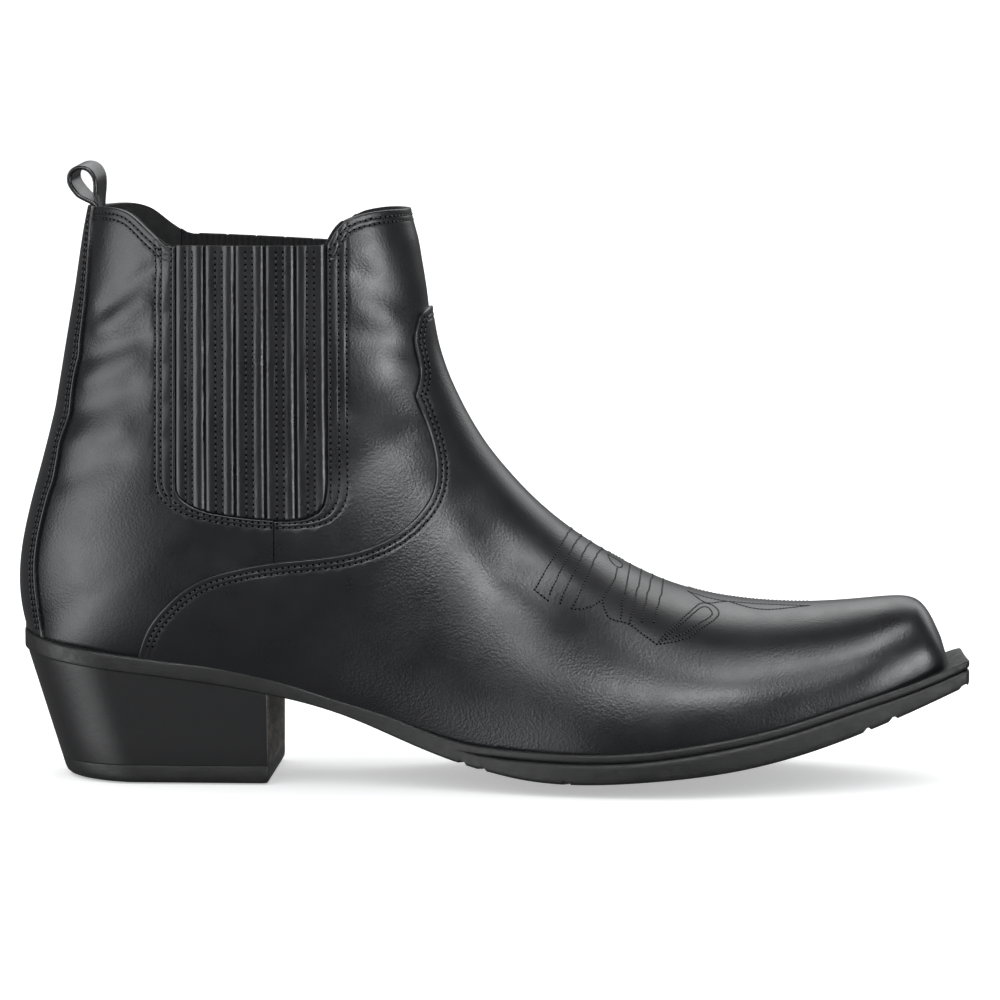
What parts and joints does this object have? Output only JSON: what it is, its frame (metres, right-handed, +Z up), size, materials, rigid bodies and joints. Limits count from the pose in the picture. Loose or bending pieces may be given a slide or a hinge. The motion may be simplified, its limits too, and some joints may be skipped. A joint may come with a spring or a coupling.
{
  "type": "western ankle boot",
  "caption": "Right-foot western ankle boot with pointed snip toe, slanted heel, strip-covered elastic gores and a rear pull loop.",
  "frame": {"origin": "centre of the heel's flat face where it meets the ground", "axes": "+X towards the toe, +Y towards the wearer's left (the medial side of this right boot), +Z up"},
  "size_m": [0.3171, 0.0969, 0.2065],
  "materials": {
    "upper_leather": "smooth polished black calf leather",
    "lining_leather": "matte black pigskin lining",
    "gore_elastic": "ribbed black elastic webbing",
    "doubler_cloth": "woven cotton interlining",
    "stiffener": "thermoplastic stiffener",
    "fibre_board": "pressed fibre board",
    "cork": "granulated cork",
    "steel": "tempered steel",
    "welt_rubber": "smooth black rubber",
    "sole_rubber": "matte black rubber",
    "heel_body": "matte black heel cover, brown-black grained breast",
    "top_piece_rubber": "matte black rubber",
    "nail_brass": "brass"
  },
  "bodies": {
    "boot": {"vamp": "upper_leather", "quarter_lateral": "upper_leather", "quarter_medial": "upper_leather", "back_stay": "upper_leather", "pull_loop_tails": "upper_leather", "gore_elastic_lateral": "gore_elastic", "gore_elastic_medial": "gore_elastic", "vamp_lining": "lining_leather", "quarter_lining_lateral": "lining_leather", "quarter_lining_medial": "lining_leather", "heel_grip": "lining_leather", "sock_lining": "lining_leather", "vamp_doubler": "doubler_cloth", "heel_counter": "stiffener", "toe_puff": "stiffener", "insole_board": "fibre_board", "shank_filler": "fibre_board", "forefoot_filler": "cork", "shank": "steel", "welt": "welt_rubber", "outsole": "sole_rubber", "heel_block": "heel_body", "heel_top_piece": "top_piece_rubber", "heel_nails": "nail_brass", "heel_screw": "steel", "gore_strip_lateral_1": "upper_leather", "gore_strip_lateral_2": "upper_leather", "gore_strip_lateral_3": "upper_leather", "gore_strip_lateral_4": "upper_leather", "gore_strip_lateral_5": "upper_leather", "gore_strip_medial_1": "upper_leather", "gore_strip_medial_2": "upper_leather", "gore_strip_medial_3": "upper_leather", "gore_strip_medial_4": "upper_leather", "gore_strip_medial_5": "upper_leather"},
    "shaft_front_panel": {"shaft_front": "upper_leather", "front_lining": "lining_leather"},
    "pull_loop": {"pull_loop": "upper_leather"}
  },
  "joints": [
    {"name": "gore_stretch", "type": "hinge", "parent": "boot", "child": "shaft_front_panel", "pos_m": [0.037, 0, 0.068], "axis": [0, 1, 0], "range_deg": [0, 5], "stiffness_Nm_per_rad": 4, "deforming": ["vamp", "vamp_lining", "vamp_doubler", "gore_elastic_lateral", "gore_elastic_medial", "gore_strip_lateral_1", "gore_strip_lateral_2", "gore_strip_lateral_3", "gore_strip_lateral_4", "gore_strip_lateral_5", "gore_strip_medial_1", "gore_strip_medial_2", "gore_strip_medial_3", "gore_strip_medial_4", "gore_strip_medial_5"]},
    {"name": "pull_loop_fold", "type": "hinge", "parent": "boot", "child": "pull_loop", "pos_m": [-0.0275, 0, 0.1943], "axis": [0, 1, 0], "range_deg": [-50, 60], "stiffness_Nm_per_rad": 0.002}
  ]
}
